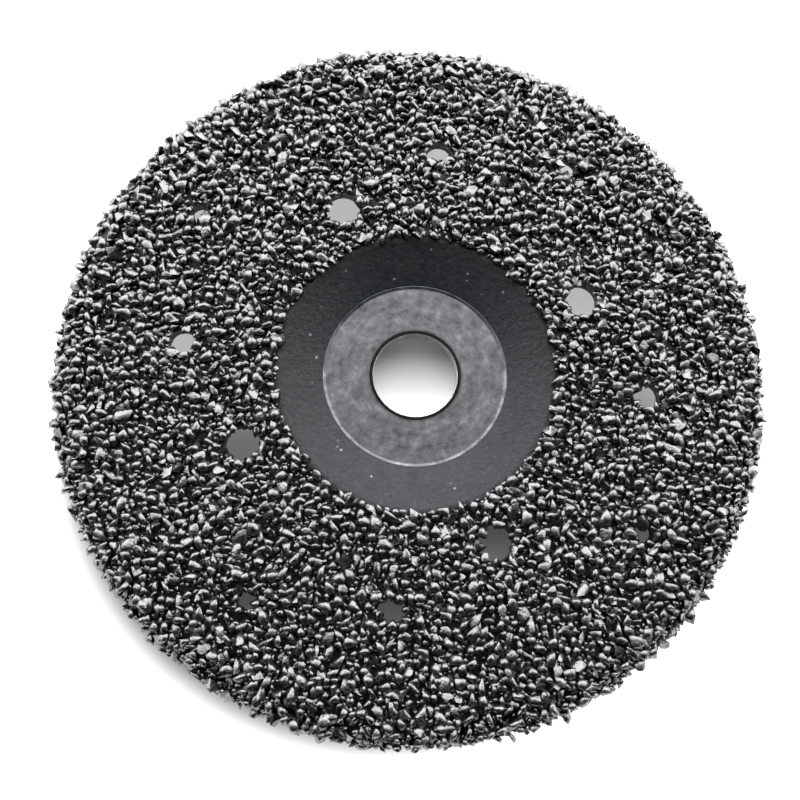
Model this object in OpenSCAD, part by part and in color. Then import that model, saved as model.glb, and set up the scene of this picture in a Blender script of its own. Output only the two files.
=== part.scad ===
// Depressed-centre abrasive carving disc for an angle grinder.
// The origin is on the bore axis, at the rear seat face; +Z points out of the abrasive face.

/* [Backing disc] */
// Diameter of the moulded backing disc
disc_d = 180; // [172:1:190]
// Thickness of the backing's moulded core
core_t = 2.2; // [1.8:0.1:2.6]
// Thickness of each glass mesh layer
mesh_t = 0.35; // [0.25:0.05:0.45]
// Radius of the rolled-back edge, at the front face
edge_roll_r = 12; // [9:0.5:15]
// Angle through which the edge rolls back, in degrees
edge_roll_angle = 30; // [20:1:36]

/* [Hub] */
// Diameter of the spindle bore
bore_d = 22.23; // [22.2:0.01:22.3]
// Diameter of the visible face of the steel hub ring
floor_d = 48.4; // [47:0.2:50]
// Diameter of the dished recess at its mouth
mouth_d = 73.2; // [71:0.2:76]
// Depth from the front of the backing down to the hub ring
recess_depth = 5; // [4.6:0.1:6.5]
// Thickness of the hub cup's floor behind the hub ring
cup_floor_t = 3; // [2:0.1:3.4]
// Thickness of the steel hub ring
ring_t = 1.6; // [1.2:0.1:2]
// Width of the ring's turned-up rim
ring_rim_w = 0.8; // [0.5:0.1:1]
// Height of the ring's turned-up rim
ring_rim_h = 0.4; // [0.2:0.1:0.6]
// Diameter of the flat rear seat
rear_seat_d = 51; // [48:0.5:54]
// Slope of the cup's rear wall, in degrees
rear_wall_angle = 31; // [29:1:34]
// Diameter of the cup's rim flange behind the backing
cup_flange_d = 84; // [80:0.5:84]
// Thickness of the cup's rim flange
cup_flange_t = 1; // [0.8:0.1:1.2]

/* [Bore bushing] */
// Wall thickness of the bushing
bush_wall = 0.9; // [0.8:0.1:1.2]
// Diameter of the bushing's rear flange
bush_flange_d = 32; // [30:0.5:36]
// Thickness of the bushing's rear flange
bush_flange_t = 1; // [0.6:0.1:1.2]
// Height of the swaged flare at the front end
bush_flare = 0.5; // [0.3:0.1:0.6]
// Chamfer at both ends of the bore
bore_chamfer = 0.25; // [0.15:0.05:0.3]

/* [Vent holes] */
// Number of spiral arms, each of three holes
arms = 4; // [4]
// Angle of the first hole from the X axis, in degrees
first_hole_angle = 24; // [0:1:60]
// Radius of the ring of inner holes
inner_hole_at = 47.5; // [47:0.1:48]
// Diameter of an inner hole
inner_hole_d = 9; // [8:0.1:9]
// Radius of the ring of middle holes
middle_hole_at = 59.8; // [59:0.1:61]
// Diameter of a middle hole
middle_hole_d = 7; // [6:0.1:7.5]
// Radius of the ring of outer holes
outer_hole_at = 70; // [69:0.1:71]
// Diameter of an outer hole
outer_hole_d = 5; // [4:0.1:6]

/* [Abrasive] */
// Thickness of the cured resin that holds the grains
bond_t = 0.3; // [0.2:0.05:0.4]
// Mean width of a grain
grain_w = 2.6; // [1.8:0.1:2.8]
// Mean height of a grain above the resin
grain_h = 1.8; // [1.2:0.1:2]
// Distance between the grains and between their rows
grain_pitch = 6; // [5.5:0.1:8]
// Spread of the grains' heights, as a share of the mean height
height_spread = 0.5; // [0:0.05:0.6]
// Spread of the grains' widths, as a share of the mean width
width_spread = 0.4; // [0:0.05:0.5]

/* [Hidden] */
$fn = 96;

bore_r = bore_d / 2;
bush_r = bore_r + bush_wall;
bush_flange_r = bush_flange_d / 2;
floor_r = floor_d / 2;
mouth_r = mouth_d / 2;

// Heights above the rear seat
ring_seat_z = cup_floor_t;
ring_top_z = ring_seat_z + ring_t;
face_z = ring_top_z + recess_depth;
laminate_t = core_t + 2 * mesh_t;
backing_rear_z = face_z - laminate_t;

// The cup's moulded lip holds the hub ring down by its rebated edge
lip_reach = 1.8;
rebate_h = 0.4;
ring_rim_land = 0.15;
lip_step = 0.2;
lip_h = ring_rim_h + lip_step;
lip_lead = 0.2;
ring_edge_r = floor_r + lip_reach;
rebate_z = ring_top_z - rebate_h;

// The dish wall runs from the lip and is tangent to a round at the mouth
mouth_round_r = 4;
mouth_land = 0.4;
round_at = [mouth_r - mouth_land, face_z - mouth_round_r];
lip_top = [floor_r + lip_lead, ring_top_z + lip_h];
to_round = round_at - lip_top;
dish_angle = atan2(to_round[1], to_round[0]) + asin(mouth_round_r / norm(to_round));

// The edge of the backing rolls back about this radius
shoulder_r = disc_d / 2 - edge_roll_r * sin(edge_roll_angle);
roll_steps = 8;
round_steps = 6;
through = 1;

// Holes of one spiral arm: [angle after the arm's first hole, distance from the axis, diameter]
arm_holes = [
    [0, inner_hole_at, inner_hole_d],
    [30, outer_hole_at, outer_hole_d],
    [60, middle_hole_at, middle_hole_d],
];
arm_step = 360 / arms;

function polar(r, a) = [r * cos(a), r * sin(a)];

// A point on the rolled edge: height above the front face, and angle round the roll
function roll_point(height, a) =
    [shoulder_r + (edge_roll_r + height) * sin(a),
     face_z - edge_roll_r + (edge_roll_r + height) * cos(a)];

function roll_line(height) =
    [for (i = [0:roll_steps]) roll_point(height, i * edge_roll_angle / roll_steps)];

function backwards(list) = [for (i = [len(list) - 1:-1:0]) list[i]];

// Section of a layer that follows the backing between two heights above its front face
function layer_section(inner_r, low, high) = concat(
    [[inner_r, face_z + low]], roll_line(low),
    backwards(roll_line(high)), [[inner_r, face_z + high]]);

// The direction out of the backing's cut edge
edge_out = [cos(edge_roll_angle), -sin(edge_roll_angle)];

function bond_section() = concat(
    [[mouth_r, face_z]], roll_line(0),
    [roll_point(-laminate_t, edge_roll_angle),
     roll_point(-laminate_t, edge_roll_angle) + bond_t * edge_out,
     roll_point(bond_t, edge_roll_angle) + bond_t * edge_out],
    backwards(roll_line(bond_t)), [[mouth_r, face_z + bond_t]]);

function mouth_round() =
    [for (i = [0:round_steps])
        let (a = dish_angle * (1 - i / round_steps))
        round_at + mouth_round_r * [-sin(a), cos(a)]];

rear_wall_top_r = rear_seat_d / 2 + (backing_rear_z - cup_flange_t) / tan(rear_wall_angle);

function cup_section() = concat(
    [[bush_flange_r, 0], [rear_seat_d / 2, 0],
     [rear_wall_top_r, backing_rear_z - cup_flange_t],
     [cup_flange_d / 2, backing_rear_z - cup_flange_t],
     [cup_flange_d / 2, backing_rear_z], [mouth_r, backing_rear_z], [mouth_r, face_z]],
    backwards(mouth_round()),
    [lip_top, [floor_r, ring_top_z + ring_rim_h], [floor_r, rebate_z],
     [ring_edge_r, rebate_z], [ring_edge_r, ring_seat_z],
     [bush_r, ring_seat_z], [bush_r, bush_flange_t], [bush_flange_r, bush_flange_t]]);

module turned(section) rotate_extrude() polygon(section);

module vent_holes()
    for (arm = [0:arms - 1], hole = arm_holes)
        rotate(first_hole_angle + arm * arm_step + hole[0])
            translate([hole[1], 0, 0])
                cylinder(h = face_z + bond_t + through, d = hole[2]);

module drilled_layer(section) difference() {
    turned(section);
    vent_holes();
}

module bore_bushing() color("#8c8d90") turned([
    [bore_r, bore_chamfer], [bore_r + bore_chamfer, 0],
    [bush_flange_r, 0], [bush_flange_r, bush_flange_t], [bush_r, bush_flange_t],
    [bush_r, ring_top_z - bush_flare], [bush_r + bush_flare, ring_top_z],
    [bore_r + bore_chamfer, ring_top_z], [bore_r, ring_top_z - bore_chamfer],
]);

module hub_ring() color("#77787b") turned([
    [bush_r, ring_seat_z], [ring_edge_r, ring_seat_z], [ring_edge_r, rebate_z],
    [floor_r, rebate_z], [floor_r, ring_top_z + ring_rim_h],
    [floor_r - ring_rim_land, ring_top_z + ring_rim_h], [floor_r - ring_rim_w, ring_top_z],
    [bush_r + bush_flare, ring_top_z], [bush_r, ring_top_z - bush_flare],
]);

module hub_cup() color("#3c3f42") turned(cup_section());

module rear_mesh() color("#5b5a52")
    drilled_layer(layer_section(mouth_r, -laminate_t, mesh_t - laminate_t));

module backing_core() color("#2c2d2f")
    drilled_layer(layer_section(mouth_r, mesh_t - laminate_t, -mesh_t));

module front_mesh() color("#5b5a52")
    drilled_layer(layer_section(mouth_r, -mesh_t, 0));

module bond_coat() color("#1b1b1d") drilled_layer(bond_section());

// One grain: an upright prism of five or six sides, with its foot on the resin.
// Its sizes and its turn come from a seed.
module grain(seed) {
    dice = rands(0, 1, 4, seed);
    rotate(360 * dice[0])
        cylinder(
            h = grain_h * (1 + height_spread * (dice[1] - 0.5)),
            d = grain_w * (1 + width_spread * (dice[2] - 0.5)),
            $fn = dice[3] < 0.5 ? 5 : 6);
}

// The widest grain's radius
grain_reach = grain_w / 2 * (1 + width_spread / 2);

// Clear land between the dish's mouth and the first grains
mouth_clear = 0.3;

// Each row's number sets the seeds of its grains
roll_row_id = 20;
rim_row_id = 30;
seed_step = 100;

function clear_of_holes(p) = min([
    for (turn = [-1:1], hole = arm_holes)
        norm(p - polar(hole[1], first_hole_angle + turn * arm_step + hole[0]))
            - hole[2] / 2 - grain_reach]) > 0;

// The most that a grain strays from its even place in a row, in steps of the row
row_jitter = 0.25;

// Grains of one row in one arm's share of the disc, repeated for every arm.
// The row lies at r and z, and its grains lean outward by lean.
module grain_row(r, z, lean, row) {
    count = floor(2 * PI * r / arms / grain_pitch);
    jitter = rands(-row_jitter, row_jitter, count, row);
    for (i = [0:count - 1]) {
        a = arm_step * (i + row % 2 / 2 + jitter[i]) / count;
        if (lean > 0 || clear_of_holes(polar(r, a)))
            for (arm = [0:arms - 1])
                rotate(a + arm * arm_step)
                    translate([r, 0, z])
                        rotate([0, lean, 0]) grain(seed_step * row + i);
    }
}

first_row_r = mouth_r + grain_reach + mouth_clear;

module face_grains(first_row, last_row)
    color("#141416")
        for (row = [first_row:last_row])
            grain_row(first_row_r + row * grain_pitch, face_z + bond_t, 0, row);

module grains_mouth() face_grains(0, 0);

module grains_inner_face() face_grains(1, 2);

module grains_middle_face() face_grains(3, 4);

module grains_outer_face() face_grains(5, 7);

// Places of the rolled edge's two rows, as shares of the roll's angle
roll_rows = [0.25, 0.85];

module grains_rolled_edge() color("#141416")
    for (row = [0:len(roll_rows) - 1]) {
        a = edge_roll_angle * roll_rows[row];
        at = roll_point(bond_t, a);
        grain_row(at[0], at[1], a, roll_row_id + row);
    }

module grains_rim() color("#141416") {
    at = roll_point(-laminate_t / 2, edge_roll_angle) + bond_t * edge_out;
    grain_row(at[0], at[1], 90 + edge_roll_angle, rim_row_id);
}

bore_bushing();
hub_ring();
hub_cup();
rear_mesh();
backing_core();
front_mesh();
bond_coat();
grains_mouth();
grains_inner_face();
grains_middle_face();
grains_outer_face();
grains_rolled_edge();
grains_rim();
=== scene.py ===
"""Looks of the carving disc: thousands of sharp grains in resin, a moulded hub, soft light."""

import math
import random

import bmesh
import bpy
import numpy as np
from mathutils import Matrix, Vector


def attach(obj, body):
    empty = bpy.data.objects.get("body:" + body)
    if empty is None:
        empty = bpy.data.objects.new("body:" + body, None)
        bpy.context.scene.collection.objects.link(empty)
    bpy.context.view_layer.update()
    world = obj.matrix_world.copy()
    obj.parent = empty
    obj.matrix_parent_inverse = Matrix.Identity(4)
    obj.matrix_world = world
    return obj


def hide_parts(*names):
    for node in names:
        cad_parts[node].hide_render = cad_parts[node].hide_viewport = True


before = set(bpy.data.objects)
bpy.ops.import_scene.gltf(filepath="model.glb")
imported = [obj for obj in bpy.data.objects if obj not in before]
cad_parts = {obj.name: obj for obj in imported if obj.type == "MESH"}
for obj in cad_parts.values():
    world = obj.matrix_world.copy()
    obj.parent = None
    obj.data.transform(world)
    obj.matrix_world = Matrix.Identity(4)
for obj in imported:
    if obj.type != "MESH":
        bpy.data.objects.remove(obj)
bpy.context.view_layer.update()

MM = 0.001


# Dimensions read from the frame

TINY = 0.001 * MM
# Distance over which doubled vertices are joined
WELD = 0.005 * MM
# Largest upward part of the normal of an upright face
UPRIGHT = 0.05
LARGEST_VENT_R = 10 * MM


def ring_vertices(node):
    """Distance from the axis and height of each vertex of a CAD node."""
    co = np.array([v.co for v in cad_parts[node].data.vertices])
    return np.hypot(co[:, 0], co[:, 1]), co[:, 2]


def vent_holes(node):
    """Centre and radius of each small round hole through a CAD node."""
    bm = bmesh.new()
    bm.from_mesh(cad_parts[node].data)
    bmesh.ops.remove_doubles(bm, verts=bm.verts, dist=WELD)
    walls = {f for f in bm.faces if abs(f.normal.z) < UPRIGHT}
    holes = []
    while walls:
        todo = [walls.pop()]
        corners = set()
        while todo:
            face = todo.pop()
            corners.update(face.verts)
            for edge in face.edges:
                for other in edge.link_faces:
                    if other in walls:
                        walls.remove(other)
                        todo.append(other)
        xy = np.array([v.co.xy for v in corners])
        centre = (xy.min(0) + xy.max(0)) / 2
        radius = float(np.hypot(*(xy - centre).T).max())
        if radius < LARGEST_VENT_R:
            holes.append((centre[0], centre[1], radius))
    bm.free()
    return sorted(holes)


mesh_r, mesh_z = ring_vertices("front_mesh")
bond_r, bond_z = ring_vertices("bond_coat")
rear_r, rear_z = ring_vertices("rear_mesh")
MOUTH_R = float(bond_r.min())
FACE_Z = float(mesh_z.max())
BOND_Z = float(bond_z.max())
BOND_T = BOND_Z - FACE_Z
DISC_R = float(mesh_r.max())
SHOULDER_R = float(bond_r[bond_z > BOND_Z - TINY].max())
EDGE_Z = float(mesh_z[mesh_r > DISC_R - TINY].max())
REAR_Z = float(rear_z[rear_r < MOUTH_R + TINY].min())
LAMINATE_T = FACE_Z - REAR_Z
ROLL_ANGLE = 2 * math.atan2(FACE_Z - EDGE_Z, DISC_R - SHOULDER_R)
ROLL_R = (DISC_R - SHOULDER_R) / math.sin(ROLL_ANGLE)
CUP_R = float(ring_vertices("hub_cup")[0].max())
BORE_R = float(ring_vertices("bore_bushing")[0].min())
HOLES = vent_holes("backing_core")


# The resin's outer surface, followed from the mouth of the dish over the rolled edge to the rim

FLAT_LENGTH = SHOULDER_R - MOUTH_R
ROLL_LENGTH = (ROLL_R + BOND_T) * ROLL_ANGLE
EDGE_LENGTH = LAMINATE_T + BOND_T


def surface(s):
    """Distance from the axis, height and outward tilt of the resin's surface, s from the mouth."""
    if s < FLAT_LENGTH:
        return MOUTH_R + s, BOND_Z, 0.0
    roll = ROLL_R + BOND_T
    a = min((s - FLAT_LENGTH) / roll, ROLL_ANGLE)
    r = SHOULDER_R + roll * math.sin(a)
    z = BOND_Z - roll * (1 - math.cos(a))
    down = s - FLAT_LENGTH - ROLL_LENGTH
    if down < 0:
        return r, z, a
    r += BOND_T * math.cos(a) - down * math.sin(a)
    z -= BOND_T * math.sin(a) + down * math.cos(a)
    return r, z, a + math.pi / 2


# Grains

SEED = 7
SHAPES = 60
# Fewest and most corners of a grain, how far out they lie, and the grain's proportions
CORNERS = (9, 13)
CORNER_REACH = (0.85, 1.2)
PROPORTIONS = (1.15, 0.9, 0.75)
# Size, least distance from any other grain, and number of tries, for each kind of grain
GRAIN_SIZES = (
    (1.75 * MM, 2.35 * MM, 60000), (1.25 * MM, 1.6 * MM, 60000), (0.8 * MM, 1.05 * MM, 60000))
SIZE_SPREAD = 0.14
GAP_SPREAD = 0.15
# How far a grain is sunk into the resin, and how high it may stand above it
GRAIN_SINK = 0.45 * MM
GRAIN_TOP = 2.35 * MM
# How far grains hang over the mouth of the dish and over the holes
MOUTH_OVERHANG = 0.5 * MM
HOLE_OVERHANG = 0.2 * MM
# Extra height of the grains on the rim
RIM_SPREAD = 0.9 * MM
# Spread of the lean of a settled grain, and the sharpest edge that is still rounded, in degrees
LEAN = 20
ROUNDED_EDGE = 88
# How far a zone of grains goes past the outermost corner of its CAD node
ZONE_MARGIN = 1 * MM


def grain_shape(dice):
    """Corners and triangles of one blocky grain, with a long radius of about 1."""
    bm = bmesh.new()
    length, width, height = PROPORTIONS
    for _ in range(dice.randint(*CORNERS)):
        way = Vector((dice.gauss(0, 1), dice.gauss(0, 1), dice.gauss(0, 1))).normalized()
        way *= dice.uniform(*CORNER_REACH)
        bm.verts.new((way.x * length, way.y * width, way.z * height))
    hull = bmesh.ops.convex_hull(bm, input=bm.verts)
    spare = [v for v in hull["geom_interior"] if isinstance(v, bmesh.types.BMVert)]
    bmesh.ops.delete(bm, geom=spare, context="VERTS")
    bmesh.ops.triangulate(bm, faces=bm.faces)
    bm.verts.index_update()
    corners = np.array([v.co for v in bm.verts])
    faces = np.array([[v.index for v in f.verts] for f in bm.faces])
    bm.free()
    return corners, faces


def random_turn(dice):
    """A rotation matrix, any way up with equal chance."""
    q = np.array([dice.gauss(0, 1) for _ in range(4)])
    w, x, y, z = q / np.linalg.norm(q)
    return np.array([
        [1 - 2 * (y * y + z * z), 2 * (x * y - z * w), 2 * (x * z + y * w)],
        [2 * (x * y + z * w), 1 - 2 * (x * x + z * z), 2 * (y * z - x * w)],
        [2 * (x * z - y * w), 2 * (y * z + x * w), 1 - 2 * (x * x + y * y)],
    ])


def settled_turn(dice):
    """A rotation matrix: any way round, and leaning a little, as a grain lies after it falls."""
    turn = dice.uniform(0, 2 * math.pi)
    lean = math.radians(dice.gauss(0, LEAN))
    way = dice.uniform(0, 2 * math.pi)
    axis = Vector((math.cos(way), math.sin(way), 0))
    return np.array(Matrix.Rotation(lean, 3, axis) @ Matrix.Rotation(turn, 3, "Z"))


def scattered_places(dice):
    """Grains on the resin, big ones first and small ones between: (s, angle, size)."""
    length = FLAT_LENGTH + ROLL_LENGTH + EDGE_LENGTH
    cell_size = max(gap for _, gap, _ in GRAIN_SIZES) * (1 + GAP_SPREAD)
    cells = {}
    places = []
    for size, gap, tries in GRAIN_SIZES:
        for _ in range(tries):
            s = dice.uniform(-MOUTH_OVERHANG, length)
            angle = dice.uniform(0, 2 * math.pi)
            r, z, _ = surface(s)
            if dice.random() > r / (DISC_R + BOND_T):
                continue
            p = (r * math.cos(angle), r * math.sin(angle), z)
            if any(
                    math.hypot(p[0] - x, p[1] - y) < radius - HOLE_OVERHANG
                    for x, y, radius in HOLES):
                continue
            room = gap * dice.uniform(1 - GAP_SPREAD, 1 + GAP_SPREAD)
            cell = tuple(int(math.floor(c / cell_size)) for c in p)
            near = (
                cells.get((cell[0] + i, cell[1] + j, cell[2] + k), ())
                for i in (-1, 0, 1) for j in (-1, 0, 1) for k in (-1, 0, 1))
            if any(math.dist(p, q) < room for group in near for q in group):
                continue
            cells.setdefault(cell, []).append(p)
            places.append((s, angle, size * math.exp(dice.gauss(0, SIZE_SPREAD))))
    return places


def laid_grain(shape, s, angle, size, dice):
    """Corners of one grain, turned, scaled and sunk into the resin at its place."""
    on_edge = s > FLAT_LENGTH + ROLL_LENGTH
    turn = random_turn(dice) if on_edge else settled_turn(dice)
    corners = shape @ turn.T * size
    low, high = corners[:, 2].min(), corners[:, 2].max()
    if high - low > GRAIN_TOP + GRAIN_SINK:
        corners *= (GRAIN_TOP + GRAIN_SINK) / (high - low)
        low, high = corners[:, 2].min(), corners[:, 2].max()
    lift = -low - GRAIN_SINK
    if on_edge:
        lift += dice.uniform(0, RIM_SPREAD)
    r, z, tilt = surface(s)
    out = np.array([math.cos(angle), math.sin(angle), 0])
    side = np.array([-math.sin(angle), math.cos(angle), 0])
    up = np.array([0, 0, 1])
    normal = out * math.sin(tilt) + up * math.cos(tilt)
    along = out * math.cos(tilt) - up * math.sin(tilt)
    spot = out * r + up * z
    return (
        spot + np.outer(corners[:, 0], along) + np.outer(corners[:, 1], side)
        + np.outer(corners[:, 2] + lift, normal))


def mesh_piece(name, corners, faces, tones=None):
    """A mesh object from arrays of corners and triangles, with an optional tone for each corner."""
    mesh = bpy.data.meshes.new(name)
    mesh.from_pydata(corners.tolist(), [], faces.tolist())
    if tones is not None:
        mesh.attributes.new("tone", "FLOAT", "POINT").data.foreach_set("value", tones)
    mesh.update()
    mesh.shade_smooth()
    mesh.set_sharp_from_angle(angle=math.radians(ROUNDED_EDGE))
    piece = bpy.data.objects.new(name, mesh)
    bpy.context.scene.collection.objects.link(piece)
    return piece


def grain_zones():
    """The CAD grain nodes in order from the mouth, each with the largest s that it covers."""
    nodes = ["grains_mouth", "grains_inner_face", "grains_middle_face", "grains_outer_face"]
    zones = [
        (node, float(ring_vertices(node)[0].max()) + ZONE_MARGIN - MOUTH_R) for node in nodes]
    zones[-1] = (nodes[-1], FLAT_LENGTH)
    zones.append(("grains_rolled_edge", FLAT_LENGTH + ROLL_LENGTH))
    zones.append(("grains_rim", FLAT_LENGTH + ROLL_LENGTH + 2 * EDGE_LENGTH))
    return zones


def grit(material):
    """All the grains, one piece for each CAD grain node."""
    dice = random.Random(SEED)
    shapes = [grain_shape(dice) for _ in range(SHAPES)]
    places = scattered_places(dice)
    start = -math.inf
    for node, end in grain_zones():
        corners, faces, tones, count = [], [], [], 0
        for s, angle, size in places:
            if not start <= s < end:
                continue
            shape, triangles = dice.choice(shapes)
            corners.append(laid_grain(shape, s, angle, size, dice))
            faces.append(triangles + count)
            tones.append(np.full(len(shape), dice.random()))
            count += len(shape)
        piece = mesh_piece(
            node.replace("grains", "grit"), np.vstack(corners), np.vstack(faces),
            np.concatenate(tones))
        piece.data.materials.append(material)
        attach(piece, "root")
        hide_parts(node)
        start = end


# Threads on the back

THREAD_PITCH = 4.2 * MM
THREAD_STEP = THREAD_PITCH / 4
# Width of a thread, and its edge and its flat top as shares of that
THREAD_W = 1.2 * MM
EDGE = 0.5
TOP = 0.28
# Mean height of a thread above the resin, how much that varies, and how deep it is sunk
THREAD_RISE = 0.17 * MM
THREAD_WAVE = 0.07 * MM
THREAD_SINK = 0.1 * MM
# How far the threads stay from the hub, the rim and the holes
THREAD_MARGIN = 0.5 * MM


def rear_height(r):
    """Height of the back of the laminate at a distance from the axis."""
    roll = ROLL_R - LAMINATE_T
    over = max(0.0, r - SHOULDER_R)
    return REAR_Z - roll + math.sqrt(roll * roll - over * over)


def thread_runs(across, swap):
    """The places along one thread, in a list for each stretch clear of hub, rim and holes."""
    reach = SHOULDER_R + (ROLL_R - LAMINATE_T) * math.sin(ROLL_ANGLE) - THREAD_MARGIN
    steps = int(reach / THREAD_STEP) + 1
    runs = [[]]
    for i in range(-steps, steps + 1):
        along = i * THREAD_STEP
        x, y = (across, along) if swap else (along, across)
        r = math.hypot(x, y)
        clear = CUP_R + THREAD_MARGIN < r < reach and all(
            math.hypot(x - hx, y - hy) > radius + THREAD_MARGIN for hx, hy, radius in HOLES)
        if clear:
            runs[-1].append(along)
        elif runs[-1]:
            runs.append([])
    return [run for run in runs if len(run) > 1]


def weave(material):
    """The glass threads that stand out on the back, over and under each other."""
    corners, faces = [], []
    sides = 6
    lines = int(DISC_R / THREAD_PITCH) + 1
    for swap in (False, True):
        for line in range(-lines, lines + 1):
            across = (line + 0.5) * THREAD_PITCH
            for run in thread_runs(across, swap):
                start = len(corners)
                for along in run:
                    phase = math.pi * (along / THREAD_PITCH + line + swap)
                    high = THREAD_RISE + THREAD_WAVE * math.sin(phase)
                    for side, rise in (
                            (-EDGE, 0), (-TOP, high), (TOP, high), (EDGE, 0),
                            (TOP, -THREAD_SINK), (-TOP, -THREAD_SINK)):
                        offset = across + side * THREAD_W
                        x, y = (offset, along) if swap else (along, offset)
                        corners.append((x, y, rear_height(math.hypot(x, y)) - rise))
                rings = len(run)
                for k in range(rings - 1):
                    for j in range(sides):
                        a = start + sides * k + j
                        b = start + sides * k + (j + 1) % sides
                        faces += [(a, b, b + sides), (a, b + sides, a + sides)]
                last = start + sides * (rings - 1)
                for j in range(1, sides - 1):
                    faces += [(start, start + j + 1, start + j), (last, last + j, last + j + 1)]
    piece = mesh_piece("rear_weave", np.array(corners), np.array(faces))
    bm = bmesh.new()
    bm.from_mesh(piece.data)
    bmesh.ops.recalc_face_normals(bm, faces=bm.faces)
    bm.to_mesh(piece.data)
    bm.free()
    piece.data.materials.append(material)
    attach(piece, "root")


# Materials

def new_material(name, colour, metallic, roughness, ior=1.5):
    """A material with its nodes, links and main shader."""
    material = bpy.data.materials.new(name)
    material.use_nodes = True
    tree = material.node_tree
    shader = tree.nodes["Principled BSDF"]
    shader.inputs["Base Color"].default_value = (*colour, 1)
    shader.inputs["Metallic"].default_value = metallic
    shader.inputs["Roughness"].default_value = roughness
    shader.inputs["IOR"].default_value = ior
    return material, tree, shader


def place(tree):
    """The place on the object, in metres."""
    return tree.nodes.new("ShaderNodeTexCoord").outputs["Object"]


def axes(tree, vector):
    """The X, Y and Z of a vector."""
    node = tree.nodes.new("ShaderNodeSeparateXYZ")
    tree.links.new(vector, node.inputs["Vector"])
    return node.outputs


def distance(tree, vector, centre=(0, 0, 0)):
    """How far a vector's end is from a point."""
    node = tree.nodes.new("ShaderNodeVectorMath")
    node.operation = "DISTANCE"
    node.inputs[1].default_value = centre
    tree.links.new(vector, node.inputs[0])
    return node.outputs["Value"]


def from_axis(tree):
    """Distance from the disc's axis."""
    flat = tree.nodes.new("ShaderNodeVectorMath")
    flat.operation = "MULTIPLY"
    flat.inputs[1].default_value = (1, 1, 0)
    tree.links.new(place(tree), flat.inputs[0])
    return distance(tree, flat.outputs["Vector"])


def noise(tree, size, detail=3.0, roughness=0.55):
    """Noise with features of about the given size in metres."""
    node = tree.nodes.new("ShaderNodeTexNoise")
    node.inputs["Scale"].default_value = 1 / size
    node.inputs["Detail"].default_value = detail
    node.inputs["Roughness"].default_value = roughness
    tree.links.new(place(tree), node.inputs["Vector"])
    return node.outputs["Fac"]


def remap(tree, value, low, high, from_low=0.3, from_high=0.7):
    """value, stretched from the second range to the first, and kept inside it."""
    node = tree.nodes.new("ShaderNodeMapRange")
    node.inputs["From Min"].default_value = from_low
    node.inputs["From Max"].default_value = from_high
    node.inputs["To Min"].default_value = low
    node.inputs["To Max"].default_value = high
    tree.links.new(value, node.inputs["Value"])
    return node.outputs["Result"]


def product(tree, a, b):
    """a times b, where b is a socket or a number."""
    node = tree.nodes.new("ShaderNodeMath")
    node.operation = "MULTIPLY"
    tree.links.new(a, node.inputs[0])
    if isinstance(b, float):
        node.inputs[1].default_value = b
    else:
        tree.links.new(b, node.inputs[1])
    return node.outputs["Value"]


def larger(tree, a, b):
    """The larger of two values."""
    node = tree.nodes.new("ShaderNodeMath")
    node.operation = "MAXIMUM"
    tree.links.new(a, node.inputs[0])
    tree.links.new(b, node.inputs[1])
    return node.outputs["Value"]


def ramp(tree, value, stops):
    """value turned into a colour by stops of (position, colour)."""
    node = tree.nodes.new("ShaderNodeValToRGB")
    points = node.color_ramp.elements
    while len(points) < len(stops):
        points.new(0.5)
    for point, (position, colour) in zip(points, stops):
        point.position = position
        point.color = (*colour, 1)
    tree.links.new(value, node.inputs["Fac"])
    return node.outputs["Color"]


def bump(tree, shader, height, strength, depth):
    """Bump on the shader's normal, on top of any that is there."""
    node = tree.nodes.new("ShaderNodeBump")
    node.inputs["Strength"].default_value = strength
    node.inputs["Distance"].default_value = depth
    tree.links.new(height, node.inputs["Height"])
    if shader.inputs["Normal"].is_linked:
        tree.links.new(shader.inputs["Normal"].links[0].from_socket, node.inputs["Normal"])
    tree.links.new(node.outputs["Normal"], shader.inputs["Normal"])


def grain_material():
    """Black crystal with a thin coat of resin: glossy in places, and pitted."""
    material, tree, shader = new_material("silicon_carbide", (0.005, 0.005, 0.005), 0, 0.25, 2.15)
    tone = tree.nodes.new("ShaderNodeAttribute")
    tone.attribute_name = "tone"
    tree.links.new(
        ramp(tree, tone.outputs["Fac"], [
            (0, (0.001, 0.001, 0.001)), (0.6, (0.003, 0.003, 0.003)), (1, (0.008, 0.008, 0.009))]),
        shader.inputs["Base Color"])
    tree.links.new(remap(tree, noise(tree, 0.9 * MM), 0.15, 0.38), shader.inputs["Roughness"])
    bump(tree, shader, noise(tree, 0.7 * MM, 2), 0.45, 0.35 * MM)
    bump(tree, shader, noise(tree, 0.2 * MM), 0.3, 0.05 * MM)
    return material


def resin_material():
    """Uneven cured resin between the grains."""
    material, tree, shader = new_material("bond_resin", (0.001, 0.001, 0.001), 0, 0.3, 1.25)
    tree.links.new(remap(tree, noise(tree, 2 * MM), 0.2, 0.4), shader.inputs["Roughness"])
    bump(tree, shader, noise(tree, 1.5 * MM), 0.8, 0.4 * MM)
    return material


def dust(tree, shader, spacing, size):
    """Sparse pale specks of grinding dust over the shader's colour."""
    cells = tree.nodes.new("ShaderNodeTexVoronoi")
    cells.inputs["Scale"].default_value = 1 / spacing
    tree.links.new(place(tree), cells.inputs["Vector"])
    speck = remap(tree, cells.outputs["Distance"], 1, 0, size * 0.4, size)
    some = remap(tree, noise(tree, spacing * 1.7), 0, 1, 0.5, 0.6)
    node = tree.nodes.new("ShaderNodeMix")
    node.data_type = "RGBA"
    tree.links.new(product(tree, speck, some), node.inputs["Factor"])
    tree.links.new(shader.inputs["Base Color"].links[0].from_socket, node.inputs["A"])
    node.inputs["B"].default_value = (0.2, 0.2, 0.2, 1)
    tree.links.new(node.outputs["Result"], shader.inputs["Base Color"])


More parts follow.
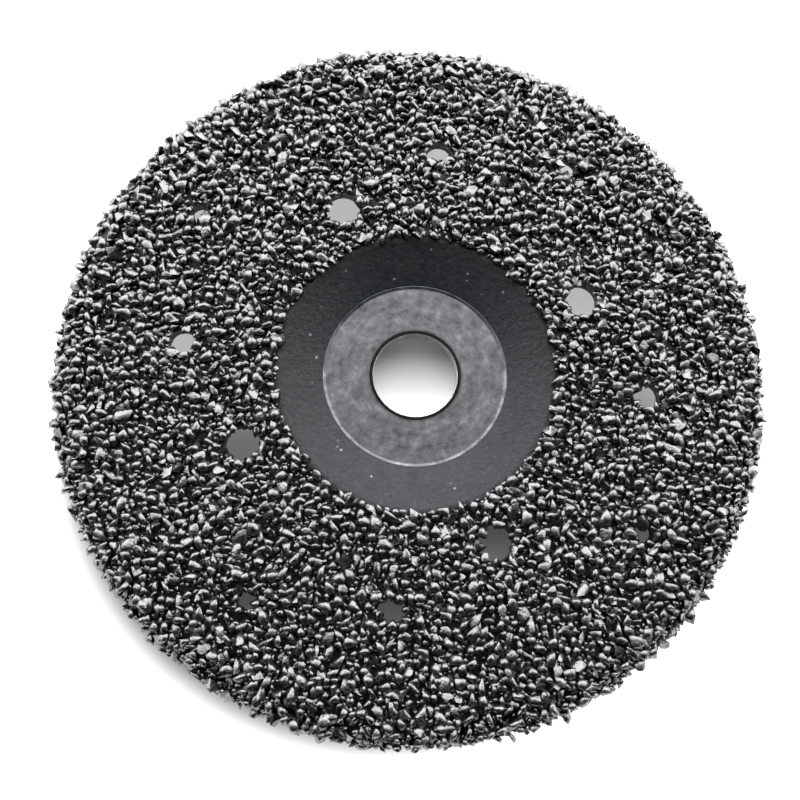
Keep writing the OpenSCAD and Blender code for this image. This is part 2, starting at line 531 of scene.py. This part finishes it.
def moulding_material():
    """Moulded plastic with a faint pebbled skin and a little dust."""
    material, tree, shader = new_material("hub_moulding", (0.012, 0.014, 0.015), 0, 0.4, 1.31)
    tree.links.new(
        ramp(tree, noise(tree, 1.1 * MM, 6, 0.7), [
            (0.35, (0.005, 0.0065, 0.0075)), (0.6, (0.012, 0.0145, 0.0155)),
            (0.7, (0.03, 0.032, 0.033))]),
        shader.inputs["Base Color"])
    dust(tree, shader, 3.2 * MM, 0.14)
    tree.links.new(remap(tree, noise(tree, 4 * MM, 4), 0.34, 0.52), shader.inputs["Roughness"])
    bump(tree, shader, noise(tree, 1.3 * MM, 5, 0.65), 1.0, 0.25 * MM)
    return material


def turned_noise(tree, width, length):
    """Noise drawn out round the axis like lathe marks, of the given width and length in metres."""
    here = place(tree)
    across = axes(tree, here)
    turn = tree.nodes.new("ShaderNodeMath")
    turn.operation = "ARCTAN2"
    tree.links.new(across["Y"], turn.inputs[0])
    tree.links.new(across["X"], turn.inputs[1])
    polar = tree.nodes.new("ShaderNodeCombineXYZ")
    mean_r = 20 * MM
    tree.links.new(product(tree, distance(tree, here), 1 / width), polar.inputs["X"])
    tree.links.new(product(tree, turn.outputs["Value"], mean_r / length), polar.inputs["Y"])
    marks = tree.nodes.new("ShaderNodeTexNoise")
    marks.inputs["Scale"].default_value = 1
    marks.inputs["Detail"].default_value = 4
    tree.links.new(polar.outputs["Vector"], marks.inputs["Vector"])
    return marks.outputs["Fac"]


def mixed(tree, a, b, share):
    """a and b mixed, with the given share of b."""
    node = tree.nodes.new("ShaderNodeMix")
    node.inputs["Factor"].default_value = share
    tree.links.new(a, node.inputs["A"])
    tree.links.new(b, node.inputs["B"])
    return node.outputs["Result"]


def ring_material():
    """Mottled grey steel with faint turning marks."""
    material, tree, shader = new_material("hub_steel", (0.25, 0.25, 0.255), 0.85, 0.45)
    marks = turned_noise(tree, 1.6 * MM, 7 * MM)
    stains = noise(tree, 2.8 * MM, 6, 0.74)
    tree.links.new(
        ramp(tree, mixed(tree, stains, marks, 0.3), [
            (0.34, (0.035, 0.0345, 0.037)), (0.46, (0.082, 0.081, 0.085)),
            (0.54, (0.107, 0.1055, 0.111)), (0.67, (0.185, 0.185, 0.189))]),
        shader.inputs["Base Color"])
    tree.links.new(remap(tree, noise(tree, 2 * MM, 5), 0.36, 0.6), shader.inputs["Roughness"])
    bump(tree, shader, marks, 0.5, 0.03 * MM)
    bump(tree, shader, noise(tree, 0.8 * MM, 4), 0.5, 0.07 * MM)
    return material


def bushing_material():
    """Steel, with painted light on the wall of the bore and painted shade in a black band round its
    edge.
    """
    material, tree, shader = new_material("bushing_steel", (0.2, 0.2, 0.205), 0.9, 0.35)
    painted_wall_light_edge_shade = remap(tree, from_axis(tree), 0, 1, BORE_R, BORE_R + 2 * MM)
    # Painted light makes the bore wall bright, and painted shade makes a near-black band just
    # outside it; further out the flange has its own grey.
    tone = ramp(tree, painted_wall_light_edge_shade, [
        (0.015, (0.72, 0.71, 0.7)), (0.045, (0.008, 0.008, 0.008)),
        (0.42, (0.008, 0.008, 0.008)), (0.5, (0.08, 0.079, 0.083))])
    marks = remap(tree, noise(tree, 2 * MM, 6), 0.7, 1.3)
    tree.links.new(product(tree, tone, marks), shader.inputs["Base Color"])
    tree.links.new(remap(tree, noise(tree, 1 * MM), 0.28, 0.45), shader.inputs["Roughness"])
    bump(tree, shader, turned_noise(tree, 0.3 * MM, 12 * MM), 0.4, 0.02 * MM)
    return material


def laminate_material():
    """Pressed resin and fibre, with short pale fibres and small dents."""
    material, tree, shader = new_material("laminate", (0.03, 0.031, 0.033), 0, 0.6)
    tree.links.new(
        ramp(tree, noise(tree, 0.6 * MM, 6, 0.7), [
            (0.3, (0.008, 0.008, 0.009)), (0.55, (0.02, 0.02, 0.02)),
            (0.75, (0.05, 0.049, 0.045))]),
        shader.inputs["Base Color"])
    tree.links.new(remap(tree, noise(tree, 3 * MM), 0.45, 0.7), shader.inputs["Roughness"])
    bump(tree, shader, noise(tree, 0.4 * MM, 5, 0.7), 0.7, 0.08 * MM)
    return material


def cloth_wave(tree, axis, size):
    """Bands across one axis, like the yarns of a cloth."""
    node = tree.nodes.new("ShaderNodeTexWave")
    node.bands_direction = axis
    node.inputs["Scale"].default_value = 0.314 / size
    node.inputs["Distortion"].default_value = 0.6
    node.inputs["Detail Scale"].default_value = 0.5
    tree.links.new(place(tree), node.inputs["Vector"])
    return node.outputs["Fac"]


def cloth_material(name, dark, light, yarn):
    """Glass cloth soaked in black resin."""
    material, tree, shader = new_material(name, dark, 0, 0.5)
    yarns = product(tree, cloth_wave(tree, "X", yarn), cloth_wave(tree, "Y", yarn))
    tone = mixed(tree, yarns, noise(tree, 2.5 * MM, 6, 0.7), 0.6)
    tree.links.new(
        ramp(tree, tone, [(0.2, dark), (0.62, light)]), shader.inputs["Base Color"])
    tree.links.new(remap(tree, noise(tree, 1.5 * MM, 4), 0.34, 0.6), shader.inputs["Roughness"])
    bump(tree, shader, yarns, 0.8, 0.08 * MM)
    bump(tree, shader, noise(tree, 0.5 * MM, 4), 0.4, 0.05 * MM)
    return material


def paint(node, material):
    """Gives a CAD node one material."""
    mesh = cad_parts[node].data
    mesh.materials.clear()
    mesh.materials.append(material)


# Studio

TENT_LIGHT = 6.8
FLOOR_HALF = 6.0
# The shadow beside the disc is centred here, a little to the near left of the axis
SHADOW_CENTRE = (-14 * MM, -12.5 * MM, 0)


def tent():
    """White walls beyond the disc and at its sides, a dim ceiling, a dark room on the near side."""
    world = bpy.data.worlds.new("tent")
    world.use_nodes = True
    tree = world.node_tree
    way = axes(tree, tree.nodes.new("ShaderNodeTexCoord").outputs["Generated"])
    walls = ramp(tree, remap(tree, way["Y"], 0, 1, -1, 1), [
        (0.2, (0.002, 0.002, 0.002)), (0.39, (0.03, 0.03, 0.03)), (0.5, (0.2, 0.2, 0.2)),
        (0.61, (0.8, 0.8, 0.8)), (0.75, (1, 1, 1))])
    ceiling = ramp(tree, way["Z"], [
        (0.5, (1, 1, 1)), (0.72, (0.86, 0.86, 0.86)), (0.87, (0.5, 0.5, 0.5)),
        (0.95, (0.31, 0.31, 0.31)), (1, (0.26, 0.26, 0.26))])
    horizon = remap(tree, way["Z"], 1, 0, 0.03, 0.16)
    light = product(tree, product(tree, walls, ceiling), TENT_LIGHT)
    background = tree.nodes["Background"]
    background.inputs["Color"].default_value = (1, 1, 1.02, 1)
    tree.links.new(larger(tree, light, horizon), background.inputs["Strength"])
    bpy.context.scene.world = world


def floor_glow(tree, y, reach, aside):
    """Glow of the floor: faint under the far side of the disc and of the bore, bright outside."""
    under = product(
        tree, remap(tree, y, 0.06, 0.45, -23 * MM, 6 * MM),
        remap(tree, reach, 0, 1, 14 * MM, 32 * MM))
    bore = product(
        tree, remap(tree, y, 0.03, 0.108, 7.5 * MM, 10.1 * MM),
        remap(tree, reach, 1, 0, 13 * MM, 14 * MM))
    outside = product(
        tree, remap(tree, aside, 0, 0.7, 73.5 * MM, 84.5 * MM),
        remap(tree, reach, 0, 1, 80 * MM, 86 * MM))
    return larger(tree, bore, larger(tree, under, outside))


def floor_tone(tree, y, reach, aside):
    """Tone of the floor: darker at the far side of the bore and in the shadow beside the disc."""
    bore = larger(
        tree, remap(tree, y, 0.8, 0.2, -12 * MM, 6 * MM),
        remap(tree, reach, 0, 1, 14 * MM, 16 * MM))
    shade = larger(
        tree, remap(tree, aside, 0.3, 0.9, 74 * MM, 87 * MM),
        remap(tree, reach, 0.78, 0, 20 * MM, 30 * MM))
    return product(tree, bore, shade)


def studio():
    """A pale floor with soft light and shade under and beside the disc, in a light tent."""
    mesh = bpy.data.meshes.new("floor")
    half = FLOOR_HALF
    mesh.from_pydata(
        [(-half, -half, 0), (half, -half, 0), (half, half, 0), (-half, half, 0)],
        [], [(0, 1, 2, 3)])
    floor = bpy.data.objects.new("floor", mesh)
    bpy.context.scene.collection.objects.link(floor)
    material, tree, shader = new_material("floor", (0.9, 0.9, 0.9), 0, 0.8)
    here = place(tree)
    y = axes(tree, here)["Y"]
    reach, aside = distance(tree, here), distance(tree, here, SHADOW_CENTRE)
    shader.inputs["Emission Color"].default_value = (1, 1, 1, 1)
    tree.links.new(floor_glow(tree, y, reach, aside), shader.inputs["Emission Strength"])
    tree.links.new(floor_tone(tree, y, reach, aside), shader.inputs["Base Color"])
    floor.data.materials.append(material)
    tent()
    bpy.context.scene.view_settings.view_transform = "Standard"


def camera():
    """Nearly overhead and close, a little to the near left of the axis."""
    target = Vector((-4.3 * MM, -7.7 * MM, BOND_Z))
    away = 190 * MM
    lean, swing = math.radians(10.5), math.radians(-16.0)
    way = Vector((
        math.sin(lean) * math.sin(swing), -math.sin(lean) * math.cos(swing), math.cos(lean)))
    data = bpy.data.cameras.new("camera")
    data.sensor_width = 36
    data.lens = 33.75
    data.clip_start = 0.01
    cam = bpy.data.objects.new("camera", data)
    cam.location = target + way * away
    right = (-way).cross(Vector((0, 1, 0))).normalized()
    up = right.cross(-way)
    cam.rotation_euler = Matrix((right, up, way)).transposed().to_euler()
    bpy.context.scene.collection.objects.link(cam)
    bpy.context.scene.camera = cam


camera()
studio()
grit(grain_material())
paint("bond_coat", resin_material())
paint("hub_cup", moulding_material())
paint("hub_ring", ring_material())
paint("bore_bushing", bushing_material())
paint("backing_core", laminate_material())
cloth = cloth_material("mesh_cloth", (0.012, 0.012, 0.0125), (0.045, 0.044, 0.041), 0.8 * MM)
paint("front_mesh", cloth)
paint("rear_mesh", cloth)
weave(cloth_material("mesh_threads", (0.014, 0.0138, 0.013), (0.085, 0.081, 0.07), 0.35 * MM))
